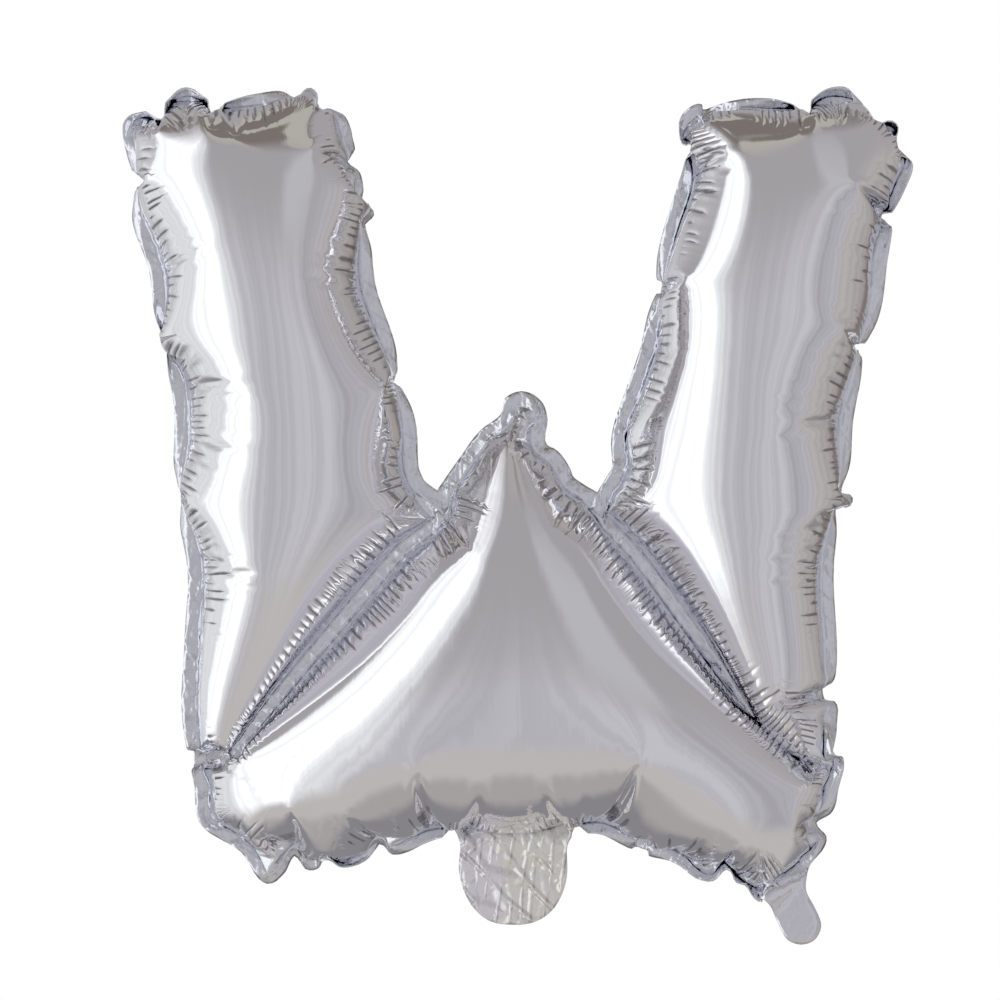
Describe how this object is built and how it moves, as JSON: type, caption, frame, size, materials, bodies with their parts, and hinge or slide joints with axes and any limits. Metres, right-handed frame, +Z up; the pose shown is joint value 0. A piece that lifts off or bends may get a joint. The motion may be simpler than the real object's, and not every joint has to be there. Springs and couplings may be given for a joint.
{
  "type": "letter foil balloon",
  "caption": "Inflated foil balloon in the shape of a W, sealed from two silver film panels, with a filling neck under its bottom edge and a hanging tab at one foot.",
  "frame": {"origin": "the middle of the letter on the plane of its seam: half way across, and half way between the top of the legs and the bottom of the feet", "axes": "+Z up, +X to the right as the letter is read from the front, -Y towards the reader"},
  "size_m": [0.3482, 0.1062, 0.3841],
  "materials": {
    "silver_foil": "mirror-bright metallised film, softly puckered",
    "sealed_foil": "flat heat-sealed metallised film, slightly duller",
    "valve_film": "clear, faintly yellow plastic film"
  },
  "bodies": {
    "root": {"front_panel": "silver_foil", "back_panel": "silver_foil", "edge_seal": "sealed_foil", "web_seal_left": "sealed_foil", "web_seal_right": "sealed_foil", "neck_front_film": "silver_foil", "neck_back_film": "silver_foil", "valve_film": "valve_film", "hanging_tab": "sealed_foil"}
  },
  "joints": []
}
